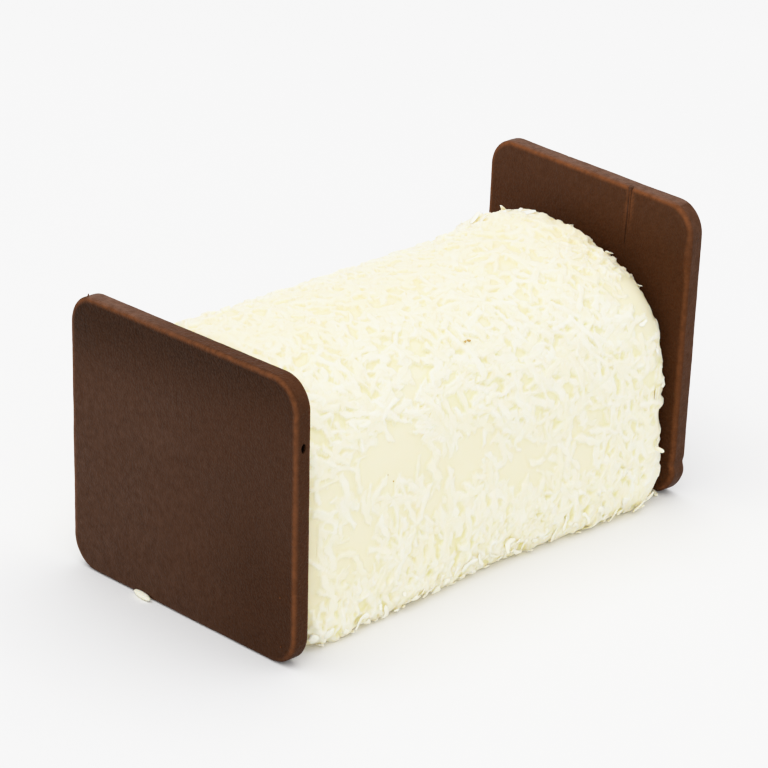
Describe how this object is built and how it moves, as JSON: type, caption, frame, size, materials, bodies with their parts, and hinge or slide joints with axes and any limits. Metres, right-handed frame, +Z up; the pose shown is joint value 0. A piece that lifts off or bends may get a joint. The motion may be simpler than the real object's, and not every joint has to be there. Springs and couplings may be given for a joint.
{
  "type": "yule log cake",
  "caption": "Small uncut yule log cake: an arched log in ivory glaze and coconut shreds, held between rounded rectangular chocolate end plates.",
  "frame": {"origin": "middle of the footprint, on the surface that the cake stands on", "axes": "+X along the log from the low front plate to the upright back plate, +Z up, -Y the side with the bare glaze"},
  "size_m": [0.0996, 0.056, 0.0572],
  "materials": {
    "chocolate": "satin moulded dark milk chocolate, slightly mottled",
    "coconut_glaze": "ivory white-chocolate glaze under white coconut shreds"
  },
  "bodies": {
    "root": {"front_plate": "chocolate", "back_plate": "chocolate", "log": "coconut_glaze"}
  },
  "joints": []
}
